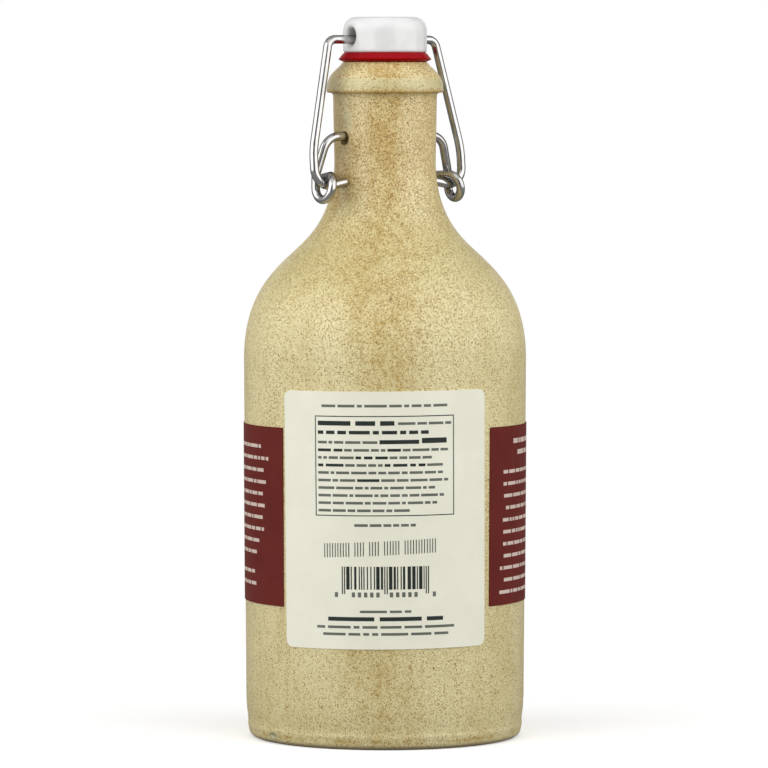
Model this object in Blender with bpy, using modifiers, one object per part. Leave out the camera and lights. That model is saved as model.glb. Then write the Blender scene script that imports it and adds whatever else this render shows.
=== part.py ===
"""Stoneware syrup jug with a swing-top wire closure.

A turned stoneware bottle carries two blind holes in its neck.  One bent wire,
the lever, springs into those holes, curls into an eye on each side and runs
round the back of the neck to a thumb tab.  A second wire, the bail, hooks
through the two eyes and passes through the cross-bore of a porcelain stopper,
which it holds down on a rubber ring.  Two paper labels wrap the wall.

Frame: +Z up, origin at the middle of the foot, X along the line through the
two neck holes, thumb tab towards +Y.  Lengths are in metres.
"""

import math

import bmesh
import bpy
from mathutils import Matrix, Vector

MM = 0.001
COLLECTION_NAME = "syrup_jug"

# ---------------------------------------------------------------- stoneware
BODY_RADIUS = 40.8 * MM          # at the top of the wall, where the shoulder starts
WALL_TAPER = 0.55 * MM           # radius lost from the top of the wall to the heel
HEEL_RADIUS_LOSS = 0.75 * MM     # further radius lost in the soft curve above the foot
HEEL_FILLET = 2.5 * MM
HEEL_RISE = 13.0 * MM            # height at which the wall becomes straight
BODY_HEIGHT = 109.5 * MM         # foot to the start of the shoulder
SHOULDER_RISE = 31.5 * MM        # on to the point where the curve changes side
FLARE_RISE = 25.8 * MM           # on to the waist of the neck
NECK_RISE = 19.4 * MM            # on to the underside of the collar
COLLAR_HEIGHT = 8.8 * MM         # on to the lip
NECK_WAIST_RADIUS = 14.65 * MM
NECK_TOP_SPREAD = 0.35 * MM      # the neck is this much wider under the collar
SHOULDER_STEP = 11.1 * MM        # radius gained from the waist to the change of curve
SHOULDER_LEAN = math.radians(47.8)   # steepest slope, from the vertical
COLLAR_OVERHANG = 1.9 * MM
COLLAR_EDGE = 0.55 * MM          # rounded lower edge of the collar
LIP_INSET = 4.7 * MM             # lip edge inside the collar's widest line
LIP_FALL = math.radians(60)      # slope with which the collar leaves the lip
FOOT_RING_WIDTH = 6.0 * MM
FOOT_RECESS = 1.5 * MM

# How far each curve keeps its starting direction, as a share of its height.
COLLAR_LIP_PULL = 0.29
COLLAR_SIDE_PULL = 0.61
NECK_FOOT_PULL = 0.56
FLARE_END_PULL = 0.27
SHOULDER_START_PULL = 0.31
WALL_TOP_PULL = 0.56
HEEL_TOP_PULL = 0.5
HEEL_FOOT_PULL = 0.3
STOPPER_TOP_PULL = 0.68
STOPPER_SIDE_PULL = 0.55

# ---------------------------------------------------------------- closure
WIRE_DIAMETER = 2.5 * MM
FIT_GAP = 0.3 * MM               # left between pieces that touch
PIN_HOLE_BELOW_LIP = 21.85 * MM
PIN_HOLE_SLACK = 0.8 * MM        # hole radius over wire radius
PIN_HOLE_DEPTH = 3.5 * MM

GASKET_RADIUS = 13.4 * MM        # at its pointed rim
GASKET_RIM = 1.7 * MM            # from the flat faces out to the point
GASKET_THICKNESS = 2.2 * MM
GASKET_POINT_DROP = 1.5 * MM     # the point lies this far under the top face
GASKET_POINT_BLUNT = 0.18 * MM   # half the height over which the point is rounded
GASKET_POINT_SETBACK = 0.17 * MM

STOPPER_RADIUS = 12.1 * MM
STOPPER_HEIGHT = 10.2 * MM
STOPPER_TOP_ROUND = 4.4 * MM
STOPPER_TOP_FLAT = 8.3 * MM      # radius at which the top starts to round off
STOPPER_FOOT_ROUND = 0.6 * MM
STOPPER_BOSS_RADIUS = 8.4 * MM
BORE_SLACK = 1.2 * MM            # bore radius over wire radius
BORE_OFFSET = 1.5 * MM           # bore lies behind the stopper's middle
BORE_BELOW_TOP = 5.6 * MM
BORE_FLARE = 0.95 * MM           # radius gained at the mouth of the bore
BORE_FLARE_DEPTH = 3.0 * MM

EYE_SLACK = 0.9 * MM             # room in the eye beside the hook
EYE_BESIDE_NECK = 9.3 * MM       # arm of the lever, out from the neck's waist
EYE_BELOW_PIN = 14.6 * MM
EYE_FORWARD = 2.2 * MM           # eyes lie in front of the pins, towards -Y
LEVER_SHOULDER_OUT = 6.0 * MM    # corner of the arm, out from the neck's waist
LEVER_BEND = 5.0 * MM
COIL_TURN = math.radians(270)
COIL_LATE_SHIFT = 3.3            # the coil steps sideways late in its turn
LEVER_LOOP_CLEARANCE = 1.6 * MM  # between the loop and the neck
LEVER_DROOP = 1.5 * MM
TAB_REACH = 4.1 * MM             # thumb tab, out from the loop
TAB_HALF_ROOT = 7.0 * MM
TAB_HALF_TIP = 5.6 * MM
TAB_BEND = 2.0 * MM

BAIL_BESIDE_STOPPER = 7.0 * MM   # corner of the bail, out from the stopper
BAIL_BEYOND_ARM = 2.6 * MM       # widest line of the bail, out from the lever's arm
BAIL_CORNER_BEND = 2.8 * MM
BAIL_KNEE_ABOVE_EYE = 10.9 * MM
BAIL_KNEE_BEND = 25.0 * MM
HOOK_BEND = 5.0 * MM
HOOK_RISE = math.radians(10.5)   # the hook's end points a little upwards
HOOK_END_CLEARANCE = 0.6 * MM

# ---------------------------------------------------------------- labels
PAPER_THICKNESS = 0.3 * MM
PAPER_GAP = 0.2 * MM
BACK_LABEL_ANGLE = math.radians(-127)    # direction of its middle, from +X
BACK_LABEL_WIDTH = 62.2 * MM
BACK_LABEL_CORNER = 2.2 * MM
BACK_LABEL_ABOVE_FOOT = 29.0 * MM
BACK_LABEL_UNDER_SHOULDER = 7.4 * MM
WRAP_INSET = 11.0 * MM           # the wrap label is this much lower at each end
SEAM_WIDE = 2.2 * MM             # bare stoneware between the two labels
SEAM_NARROW = 1.0 * MM

# ---------------------------------------------------------------- fineness
TURNED_STEPS = 64
SMALL_TURNED_STEPS = 40
COLLAR_STEPS = 7
FLARE_STEPS = 7
SHOULDER_STEPS = 8
HEEL_STEPS = 3
STOPPER_STEPS = 7
SMALL_ARC_STEPS = 3
TINY_ARC_STEPS = 2
COIL_STEPS = 16
LOOP_STEPS = 7
LEVER_BEND_STEPS = 6
BAIL_BEND_STEPS = 7
TAB_BEND_STEPS = 4
WIRE_ROUNDNESS = 2
HOLE_SIDES = 16
BACK_LABEL_COLUMNS = 16
WRAP_COLUMNS = 48
LABEL_ROWS = 2
LABEL_CORNER_STEPS = 3
MERGE = 0.01 * MM
SHARP_ANGLE = math.radians(32)

# ---------------------------------------------------------------- derived
WIRE_RADIUS = WIRE_DIAMETER / 2
SHOULDER_Z = BODY_HEIGHT
TURN_Z = SHOULDER_Z + SHOULDER_RISE
WAIST_Z = TURN_Z + FLARE_RISE
COLLAR_Z = WAIST_Z + NECK_RISE
LIP_Z = COLLAR_Z + COLLAR_HEIGHT
TURN_RADIUS = NECK_WAIST_RADIUS + SHOULDER_STEP
NECK_TOP_RADIUS = NECK_WAIST_RADIUS + NECK_TOP_SPREAD
COLLAR_RADIUS = NECK_TOP_RADIUS + COLLAR_OVERHANG
LIP_RADIUS = COLLAR_RADIUS - LIP_INSET
WALL_FOOT_RADIUS = BODY_RADIUS - WALL_TAPER
HEEL_RADIUS = WALL_FOOT_RADIUS - HEEL_RADIUS_LOSS
FOOT_RADIUS = HEEL_RADIUS - HEEL_FILLET

GASKET_Z = LIP_Z + FIT_GAP
STOPPER_Z = GASKET_Z + GASKET_THICKNESS + FIT_GAP
STOPPER_TOP_Z = STOPPER_Z + STOPPER_HEIGHT
BORE_RADIUS = WIRE_RADIUS + BORE_SLACK
BORE_Z = STOPPER_TOP_Z - BORE_BELOW_TOP
CROSSBAR_Z = BORE_Z - BORE_SLACK + FIT_GAP

PIN_HOLE_RADIUS = WIRE_RADIUS + PIN_HOLE_SLACK
PIN_HOLE_Z = LIP_Z - PIN_HOLE_BELOW_LIP
PIN_Z = PIN_HOLE_Z + PIN_HOLE_SLACK - FIT_GAP

COIL_RADIUS = WIRE_DIAMETER + EYE_SLACK
COIL_SHIFT = WIRE_DIAMETER + FIT_GAP
ARM_X = NECK_WAIST_RADIUS + EYE_BESIDE_NECK
EYE_Y = -EYE_FORWARD
EYE_Z = PIN_Z - EYE_BELOW_PIN
LOOP_RADIUS = NECK_TOP_RADIUS + WIRE_RADIUS + LEVER_LOOP_CLEARANCE


# ---------------------------------------------------------------- curves
def bezier(start, start_pull, end_pull, end, steps):
    """Points along a cubic curve, without its first point."""
    points = []
    for step in range(1, steps + 1):
        t = step / steps
        s = 1.0 - t
        point = start * s ** 3 + end * t ** 3
        point += (start_pull * s + end_pull * t) * 3 * s * t
        points.append(point)
    return points


def arc(centre, radius, start_angle, end_angle, steps):
    """Points along an arc in a profile's (radius, height) plane."""
    points = []
    for step in range(steps + 1):
        angle = start_angle + (end_angle - start_angle) * step / steps
        points.append(centre + radius * Vector((math.cos(angle), math.sin(angle))))
    return points


def rounded_path(corners, bends, steps):
    """A run of straight lines through `corners`, each inner one rounded to its bend radius."""
    path = [corners[0]]
    for before, corner, after, bend in zip(corners, corners[1:], corners[2:], bends):
        back = (before - corner).normalized()
        ahead = (after - corner).normalized()
        half_angle = back.angle(ahead) / 2
        centre = corner + (back + ahead).normalized() * (bend / math.sin(half_angle))
        start = corner + back * (bend / math.tan(half_angle))
        end = corner + ahead * (bend / math.tan(half_angle))
        turn_axis = (start - centre).cross(end - centre).normalized()
        turn = math.pi - 2 * half_angle
        for step in range(steps + 1):
            path.append(centre + Matrix.Rotation(turn * step / steps, 3, turn_axis) @ (start - centre))
    path.append(corners[-1])
    return path


def mirrored_in_x(half_path):
    """The far half of a symmetric wire, reversed, so that it leads into `half_path`."""
    return [Vector((-point.x, point.y, point.z)) for point in reversed(half_path)]


# ---------------------------------------------------------------- building helpers
def clear_scene():
    for old in list(bpy.data.objects):
        bpy.data.objects.remove(old, do_unlink=True)


def new_collection(name):
    collection = bpy.data.collections.new(name)
    bpy.context.scene.collection.children.link(collection)
    return collection


def linear(red, green, blue):
    """A display colour of 0-255 as the linear values that a shader takes."""
    def channel(value):
        share = value / 255
        return share / 12.92 if share <= 0.04045 else ((share + 0.055) / 1.055) ** 2.4
    return (channel(red), channel(green), channel(blue), 1.0)


def new_material(name, colour, roughness, metallic=0.0):
    material = bpy.data.materials.new(name)
    material.use_nodes = True
    shader = material.node_tree.nodes["Principled BSDF"]
    shader.inputs["Base Color"].default_value = colour
    shader.inputs["Roughness"].default_value = roughness
    shader.inputs["Metallic"].default_value = metallic
    material.diffuse_color = colour
    return material


def add_object(name, data, collection, material=None):
    item = bpy.data.objects.new(name, data)
    collection.objects.link(item)
    if material is not None:
        data.materials.append(material)
    return item


def turned(name, profile, steps, collection, material, ring=False):
    """A solid turned about Z from (radius, height) points that run down its outer side."""
    vertices = [(point[0], 0.0, point[1]) for point in profile]
    edges = [(index, index + 1) for index in range(len(vertices) - 1)]
    if ring:
        edges.append((len(vertices) - 1, 0))
    mesh = bpy.data.meshes.new(name)
    mesh.from_pydata(vertices, edges, [])
    item = add_object(name, mesh, collection, material)
    screw = item.modifiers.new("Turn", 'SCREW')
    screw.axis = 'Z'
    screw.angle = 2 * math.pi
    screw.steps = steps
    screw.render_steps = steps
    screw.use_merge_vertices = True
    screw.merge_threshold = MERGE
    screw.use_smooth_shade = True
    return item


def wire(name, path, collection, material):
    """A round wire with flat ends along a path."""
    curve = bpy.data.curves.new(name, 'CURVE')
    curve.dimensions = '3D'
    curve.bevel_depth = WIRE_RADIUS
    curve.bevel_resolution = WIRE_ROUNDNESS
    curve.use_fill_caps = True
    spline = curve.splines.new('POLY')
    spline.points.add(len(path) - 1)
    for spline_point, place in zip(spline.points, path):
        spline_point.co = (place.x, place.y, place.z, 1.0)
    spline.use_smooth = True
    return add_object(name, curve, collection, material)


def cross_cutter(name, stations, place, collection):
    """A round cutter along +X, given as (distance along X, radius) from its near end on."""
    mesh = bpy.data.meshes.new(name)
    shape = bmesh.new()
    for (near, near_radius), (far, far_radius) in zip(stations, stations[1:]):
        along = Matrix.Translation(((near + far) / 2, 0, 0)) @ Matrix.Rotation(math.pi / 2, 4, 'Y')
        bmesh.ops.create_cone(
            shape, cap_ends=True, segments=HOLE_SIDES, radius1=near_radius,
            radius2=far_radius, depth=far - near, matrix=along)
    inner_caps = [face for face in shape.faces if len(face.verts) > 4 and not cap_is_end(face, stations)]
    bmesh.ops.delete(shape, geom=inner_caps, context='FACES_ONLY')
    bmesh.ops.remove_doubles(shape, verts=shape.verts, dist=MERGE)
    shape.to_mesh(mesh)
    shape.free()
    cutter = add_object(name, mesh, collection)
    cutter.location = place
    cutter.hide_render = True
    cutter.display_type = 'WIRE'
    return cutter


def cap_is_end(face, stations):
    """True for the caps that close a cutter's two ends."""
    x = face.calc_center_median().x
    return min(abs(x - stations[0][0]), abs(x - stations[-1][0])) < MERGE


def cut(item, cutter):
    boolean = item.modifiers.new("Cut " + cutter.name, 'BOOLEAN')
    boolean.operation = 'DIFFERENCE'
    boolean.solver = 'EXACT'
    boolean.object = cutter


def shade_by_angle(item):
    item.data.shade_smooth()
    item.data.set_sharp_from_angle(angle=SHARP_ANGLE)


# ---------------------------------------------------------------- stoneware jug
def wall_radius(z):
    """Outer radius of the straight, slightly tapered wall."""
    share = (SHOULDER_Z - z) / (SHOULDER_Z - HEEL_RISE)
    return BODY_RADIUS - WALL_TAPER * share


def neck_radius(z):
    """Outer radius of the nearly straight neck between its waist and the collar."""
    share = (z - WAIST_Z) / (COLLAR_Z - WAIST_Z)
    return NECK_WAIST_RADIUS + NECK_TOP_SPREAD * share


def collar_profile():
    """Lip, domed collar and its rounded lower edge, down to the neck."""
    lip = Vector((LIP_RADIUS, LIP_Z))
    widest = Vector((COLLAR_RADIUS, COLLAR_Z + COLLAR_EDGE))
    fall = Vector((math.cos(LIP_FALL), -math.sin(LIP_FALL))) * COLLAR_HEIGHT * COLLAR_LIP_PULL
    rise = Vector((0, COLLAR_HEIGHT * COLLAR_SIDE_PULL))
    points = [Vector((0, LIP_Z)), lip]
    points += bezier(lip, lip + fall, widest + rise, widest, COLLAR_STEPS)
    under = Vector((COLLAR_RADIUS - COLLAR_EDGE, COLLAR_Z + COLLAR_EDGE))
    points += arc(under, COLLAR_EDGE, 0, -math.pi / 2, TINY_ARC_STEPS)[1:]
    return points


def shoulder_profile():
    """From the neck under the collar down to the top of the wall."""
    fillet = COLLAR_OVERHANG - 2 * COLLAR_EDGE
    corner = Vector((NECK_TOP_RADIUS + fillet, COLLAR_Z - fillet))
    points = arc(corner, fillet, math.pi / 2, math.pi, TINY_ARC_STEPS)
    waist = Vector((NECK_WAIST_RADIUS, WAIST_Z))
    turn = Vector((TURN_RADIUS, TURN_Z))
    wall_top = Vector((BODY_RADIUS, SHOULDER_Z))
    slope = Vector((math.sin(SHOULDER_LEAN), -math.cos(SHOULDER_LEAN)))
    neck_middle_z = WAIST_Z + NECK_RISE / 2
    points.append(Vector((neck_radius(neck_middle_z), neck_middle_z)))
    points.append(waist)
    neck_foot = waist - Vector((0, FLARE_RISE * NECK_FOOT_PULL))
    flare_end = turn - slope * FLARE_RISE * FLARE_END_PULL
    points += bezier(waist, neck_foot, flare_end, turn, FLARE_STEPS)
    shoulder_start = turn + slope * SHOULDER_RISE * SHOULDER_START_PULL
    wall_pull = wall_top + Vector((0, SHOULDER_RISE * WALL_TOP_PULL))
    points += bezier(turn, shoulder_start, wall_pull, wall_top, SHOULDER_STEPS)
    return points


def foot_profile():
    """Wall, soft heel, flat foot ring and the shallow recess inside it."""
    wall_foot = Vector((WALL_FOOT_RADIUS, HEEL_RISE))
    heel = Vector((HEEL_RADIUS, HEEL_FILLET))
    heel_height = Vector((0, HEEL_RISE - HEEL_FILLET))
    heel_start = wall_foot - heel_height * HEEL_TOP_PULL
    heel_end = heel + heel_height * HEEL_FOOT_PULL
    fillet_centre = Vector((FOOT_RADIUS, HEEL_FILLET))
    points = [wall_foot]
    points += bezier(wall_foot, heel_start, heel_end, heel, HEEL_STEPS)
    points += arc(fillet_centre, HEEL_FILLET, 0, -math.pi / 2, SMALL_ARC_STEPS)[1:]
    ring_inner = FOOT_RADIUS - FOOT_RING_WIDTH
    points.append(Vector((ring_inner, 0)))
    points.append(Vector((ring_inner - FOOT_RECESS, FOOT_RECESS)))
    points.append(Vector((0, FOOT_RECESS)))
    return points


def make_jug(collection, cutters, material):
    profile = collar_profile() + shoulder_profile() + foot_profile()
    jug = turned("jug", profile, TURNED_STEPS, collection, material)
    floor = neck_radius(PIN_HOLE_Z) - PIN_HOLE_DEPTH
    reach = COLLAR_RADIUS - floor
    stations = [(0, PIN_HOLE_RADIUS), (reach, PIN_HOLE_RADIUS)]
    right = cross_cutter("pin_hole_right", stations, (floor, 0, PIN_HOLE_Z), cutters)
    left = cross_cutter("pin_hole_left", stations, (-floor - reach, 0, PIN_HOLE_Z), cutters)
    cut(jug, right)
    cut(jug, left)
    return jug


# ---------------------------------------------------------------- stopper and gasket
def make_stopper(collection, cutters, material):
    flat_edge = Vector((STOPPER_TOP_FLAT, STOPPER_TOP_Z))
    side_top = Vector((STOPPER_RADIUS, STOPPER_TOP_Z - STOPPER_TOP_ROUND))
    out = Vector((STOPPER_RADIUS - STOPPER_TOP_FLAT, 0)) * STOPPER_TOP_PULL
    up = Vector((0, STOPPER_TOP_ROUND)) * STOPPER_SIDE_PULL
    profile = [Vector((0, STOPPER_TOP_Z)), flat_edge]
    profile += bezier(flat_edge, flat_edge + out, side_top + up, side_top, STOPPER_STEPS)
    foot_centre = Vector((STOPPER_RADIUS - STOPPER_FOOT_ROUND, STOPPER_Z + STOPPER_FOOT_ROUND))
    profile += arc(foot_centre, STOPPER_FOOT_ROUND, 0, -math.pi / 2, SMALL_ARC_STEPS)
    profile.append(Vector((STOPPER_BOSS_RADIUS, STOPPER_Z)))
    profile.append(Vector((STOPPER_BOSS_RADIUS, GASKET_Z)))
    profile.append(Vector((0, GASKET_Z)))
    stopper = turned("stopper", profile, SMALL_TURNED_STEPS, collection, material)
    mouth = STOPPER_RADIUS
    neck = mouth - BORE_FLARE_DEPTH
    beyond = mouth + BORE_FLARE_DEPTH
    wide = BORE_RADIUS + 2 * BORE_FLARE
    stations = [(-beyond, wide), (-neck, BORE_RADIUS), (neck, BORE_RADIUS), (beyond, wide)]
    bore = cross_cutter("stopper_bore", stations, (0, BORE_OFFSET, BORE_Z), cutters)
    cut(stopper, bore)
    return stopper


def make_gasket(collection, material):
    face_radius = GASKET_RADIUS - GASKET_RIM
    hole = STOPPER_BOSS_RADIUS + FIT_GAP
    top = GASKET_Z + GASKET_THICKNESS
    point_z = top - GASKET_POINT_DROP
    profile = [
        Vector((hole, top)),
        Vector((face_radius, top)),
        Vector((GASKET_RADIUS - GASKET_POINT_SETBACK, point_z + GASKET_POINT_BLUNT)),
        Vector((GASKET_RADIUS, point_z)),
        Vector((GASKET_RADIUS - GASKET_POINT_SETBACK, point_z - GASKET_POINT_BLUNT)),
        Vector((face_radius, GASKET_Z)),
        Vector((hole, GASKET_Z)),
    ]
    return turned("gasket", profile, SMALL_TURNED_STEPS, collection, material, ring=True)


# ---------------------------------------------------------------- wires
def coil_points():
    """Three quarters of a turn: down behind the eye, under it, up in front and over its top."""
    points = []
    for step in range(COIL_STEPS + 1):
        share = step / COIL_STEPS
        angle = -COIL_TURN * share
        x = ARM_X - COIL_SHIFT * share ** COIL_LATE_SHIFT
        y = EYE_Y + COIL_RADIUS * math.cos(angle)
        z = EYE_Z + COIL_RADIUS * math.sin(angle)
        points.append(Vector((x, y, z)))
    return points


def loop_points(coil_end):
    """From the top of the coil on a tangent, then round the back of the neck to the thumb tab."""
    flat_end = Vector((coil_end.x, coil_end.y))
    distance = flat_end.length
    bearing = math.atan2(flat_end.y, flat_end.x)
    touch = bearing + math.acos(LOOP_RADIUS / distance)
    root = math.acos(TAB_HALF_ROOT / LOOP_RADIUS)
    plan = []
    for step in range(LOOP_STEPS + 1):
        angle = touch + (root - touch) * step / LOOP_STEPS
        plan.append(Vector((math.cos(angle), math.sin(angle), 0)) * LOOP_RADIUS)
    tab_y = LOOP_RADIUS + TAB_REACH
    root_point = plan[-1]
    tip = Vector((TAB_HALF_TIP, tab_y, 0))
    middle = Vector((0, tab_y, 0))
    tab_corners = [plan[-2], root_point, tip, middle]
    plan = plan[:-2] + rounded_path(tab_corners, [TAB_BEND, TAB_BEND], TAB_BEND_STEPS)[1:-1]
    points = []
    for place in plan:
        fall = LEVER_DROOP * (place.y - coil_end.y) / (tab_y - coil_end.y)
        points.append(Vector((place.x, place.y, coil_end.z - fall)))
    return points


def make_lever(collection, material):
    pin_end = neck_radius(PIN_Z) - PIN_HOLE_DEPTH + FIT_GAP
    coil = coil_points()
    arm_foot = coil[0] + Vector((0, 0, COIL_RADIUS))
    corners = [
        Vector((pin_end, 0, PIN_Z)),
        Vector((NECK_WAIST_RADIUS + LEVER_SHOULDER_OUT, 0, PIN_Z)),
        arm_foot,
        coil[0],
    ]
    arm = rounded_path(corners, [LEVER_BEND, LEVER_BEND], LEVER_BEND_STEPS)
    half = arm[:-1] + coil + loop_points(coil[-1])
    half.reverse()
    return wire("lever", mirrored_in_x(half) + half, collection, material)


def make_bail(collection, material):
    """Bent flat in its own XZ plane, about the line through the eyes, then leaned into the bore."""
    reach = Vector((BORE_OFFSET - EYE_Y, CROSSBAR_Z - EYE_Z))
    lean = math.atan2(reach.x, reach.y)
    corner_x = STOPPER_RADIUS + BAIL_BESIDE_STOPPER
    wide_x = ARM_X + BAIL_BEYOND_ARM
    hook_low = EYE_SLACK - FIT_GAP
    inner_bend = HOOK_BEND * math.tan((math.pi / 2 + HOOK_RISE) / 2)
    hook_corner_z = hook_low + HOOK_BEND - inner_bend
    end_x = NECK_TOP_RADIUS + HOOK_END_CLEARANCE
    end_z = hook_corner_z + (wide_x - end_x) * math.tan(HOOK_RISE)
    corners = [
        Vector((0, 0, reach.length)),
        Vector((corner_x, 0, reach.length)),
        Vector((wide_x, 0, BAIL_KNEE_ABOVE_EYE)),
        Vector((wide_x, 0, hook_corner_z)),
        Vector((end_x, 0, end_z)),
    ]
    half = rounded_path(corners, [BAIL_CORNER_BEND, BAIL_KNEE_BEND, HOOK_BEND], BAIL_BEND_STEPS)[1:]
    bail = wire("bail", mirrored_in_x(half) + half, collection, material)
    bail.location = (0, EYE_Y, EYE_Z)
    bail.rotation_euler = (-lean, 0, 0)
    return bail


# ---------------------------------------------------------------- labels
def wrapped_label(name, start_angle, width, low, high, corner, columns, collection, material):
    """A flat sheet, cut to shape and then wrapped round the wall from `start_angle` on."""
    mesh = bpy.data.meshes.new(name)
    sheet = bmesh.new()
    bmesh.ops.create_grid(sheet, x_segments=columns, y_segments=LABEL_ROWS, size=0.5)
    bmesh.ops.scale(sheet, vec=(width, high - low, 1), verts=sheet.verts)
    if corner > 0:
        tips = [vertex for vertex in sheet.verts if len(vertex.link_edges) == 2]
        bmesh.ops.bevel(
            sheet, geom=tips, offset=corner, segments=LABEL_CORNER_STEPS, profile=0.5,
            affect='VERTICES', clamp_overlap=True)
    for vertex in sheet.verts:
        z = (low + high) / 2 + vertex.co.y
        angle = start_angle + (vertex.co.x + width / 2) / wall_radius((low + high) / 2)
        radius = wall_radius(z) + PAPER_GAP
        vertex.co = (radius * math.cos(angle), radius * math.sin(angle), z)
    sheet.to_mesh(mesh)
    sheet.free()
    label = add_object(name, mesh, collection, material)
    shade_by_angle(label)
    paper = label.modifiers.new("Paper", 'SOLIDIFY')
    paper.thickness = PAPER_THICKNESS
    paper.offset = 1
    return label


def make_labels(collection, cream, maroon):
    low = BACK_LABEL_ABOVE_FOOT
    high = SHOULDER_Z - BACK_LABEL_UNDER_SHOULDER
    middle_radius = wall_radius((low + high) / 2)
    start = BACK_LABEL_ANGLE - BACK_LABEL_WIDTH / 2 / middle_radius
    wrapped_label(
        "label_back", start, BACK_LABEL_WIDTH, low, high, BACK_LABEL_CORNER,
        BACK_LABEL_COLUMNS, collection, cream)
    wrap_start = start + (BACK_LABEL_WIDTH + SEAM_WIDE) / middle_radius
    wrap_width = 2 * math.pi * middle_radius - BACK_LABEL_WIDTH - SEAM_WIDE - SEAM_NARROW
    wrapped_label(
        "label_wrap", wrap_start, wrap_width, low + WRAP_INSET, high - WRAP_INSET, 0,
        WRAP_COLUMNS, collection, maroon)


def main():
    clear_scene()
    parts = new_collection(COLLECTION_NAME)
    cutters = new_collection(COLLECTION_NAME + "_cutters")
    stoneware = new_material("stoneware", linear(207, 190, 142), 0.45)
    porcelain = new_material("porcelain", linear(234, 234, 233), 0.12)
    red_rubber = new_material("red_rubber", linear(168, 24, 30), 0.4)
    steel = new_material("steel_wire", linear(214, 214, 212), 0.22, metallic=1.0)
    cream_paper = new_material("cream_paper", linear(236, 234, 214), 0.55)
    maroon_paper = new_material("maroon_paper", linear(112, 48, 43), 0.5)
    make_jug(parts, cutters, stoneware)
    make_stopper(parts, cutters, porcelain)
    make_gasket(parts, red_rubber)
    make_lever(parts, steel)
    make_bail(parts, steel)
    make_labels(parts, cream_paper, maroon_paper)


main()
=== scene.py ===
import math
import random
from functools import partialmethod

import bmesh
import bpy
from mathutils import Matrix, Vector


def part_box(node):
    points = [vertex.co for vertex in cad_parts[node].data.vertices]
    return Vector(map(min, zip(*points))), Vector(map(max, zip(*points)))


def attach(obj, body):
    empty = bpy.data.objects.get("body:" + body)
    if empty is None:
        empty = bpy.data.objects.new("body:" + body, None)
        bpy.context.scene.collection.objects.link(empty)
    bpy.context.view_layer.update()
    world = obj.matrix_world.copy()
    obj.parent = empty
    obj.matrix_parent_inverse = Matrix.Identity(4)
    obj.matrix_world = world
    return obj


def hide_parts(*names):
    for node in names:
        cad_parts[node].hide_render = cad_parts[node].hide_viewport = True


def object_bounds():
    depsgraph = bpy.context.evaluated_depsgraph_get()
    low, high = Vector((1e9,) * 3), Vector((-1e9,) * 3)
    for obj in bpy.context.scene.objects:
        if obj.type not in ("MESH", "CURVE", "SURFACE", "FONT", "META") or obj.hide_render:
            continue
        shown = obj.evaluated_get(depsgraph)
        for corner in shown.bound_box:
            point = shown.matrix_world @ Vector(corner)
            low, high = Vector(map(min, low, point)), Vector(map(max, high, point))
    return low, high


# The looks of the stoneware syrup jug.  Frame: +Z up, origin at the middle of the
# foot, X through the neck's pin holes, thumb tab towards +Y.  Lengths are in metres.
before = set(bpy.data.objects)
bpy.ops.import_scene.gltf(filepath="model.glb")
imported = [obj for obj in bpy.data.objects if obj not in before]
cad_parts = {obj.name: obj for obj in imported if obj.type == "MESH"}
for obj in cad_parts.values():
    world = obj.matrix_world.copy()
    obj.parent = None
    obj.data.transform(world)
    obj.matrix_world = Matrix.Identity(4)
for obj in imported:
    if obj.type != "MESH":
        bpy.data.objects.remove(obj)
cad_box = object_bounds()

MM = 0.001
MERGE = 0.002 * MM
SHARP_ANGLE = math.radians(40)

# ---------------------------------------------------------------- where the frame puts things
LIP_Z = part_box("jug")[1].z
STOPPER_TOP_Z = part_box("stopper")[1].z
STOPPER_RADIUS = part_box("stopper")[1].x
GASKET_LOW_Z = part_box("gasket")[0].z
GASKET_HIGH_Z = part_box("gasket")[1].z
BACK_LABEL_LOW, BACK_LABEL_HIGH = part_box("label_back")[0].z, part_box("label_back")[1].z
WRAP_LOW, WRAP_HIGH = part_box("label_wrap")[0].z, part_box("label_wrap")[1].z
FIT_GAP = GASKET_LOW_Z - LIP_Z
RUBBER_TIP_Z = LIP_Z + 1.1 * MM

# ---------------------------------------------------------------- turned pieces
JUG_STEPS = 144
SMALL_STEPS = 128
OUTLINE_SPACING = 1.4 * MM
FOOT_SPACING = 0.35 * MM
SMALL_SPACING = 0.4 * MM
FOOT_ZONE = 6.0 * MM             # finely divided strip above the foot
CORNER_TURN = math.radians(50)   # an outline turns sharply where it turns more than this
STRAIGHT_TURN = math.radians(0.2)    # and runs straight on where it turns less than this
LONG_RATIO = 2.5                 # a stretch this much longer than its neighbour stays straight
FOOT_BEAD_Z = 3.7 * MM           # roll of glaze above the foot
FOOT_BEAD_RISE = 0.11 * MM
FOOT_BEAD_WIDTH = 0.55 * MM
WALL_SHARE = 0.9                 # an outline's points beyond this share of its radius are wall
CHIP_ANGLE = math.radians(179)   # small chip in the glaze above the foot, from +X
CHIP_Z = 2.3 * MM
CHIP_DEPTH = 0.42 * MM
CHIP_SCOOP = 3.4 * MM            # radius of the scoop that the chip leaves
CHIP_SQUASH = 0.55

NECK_WAIST_RADIUS = 14.65 * MM
NECK_TOP_RADIUS = 15.0 * MM
WIRE_DIAMETER = 2.5 * MM
WIRE_RADIUS = WIRE_DIAMETER / 2
PIN_HOLE_Z = LIP_Z - 21.85 * MM
PIN_HOLE_RADIUS = WIRE_RADIUS + 0.8 * MM
PIN_HOLE_DEPTH = 3.5 * MM
PIN_HOLE_SIDES = 48
HOLE_ROUND = 0.3 * MM

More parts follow.
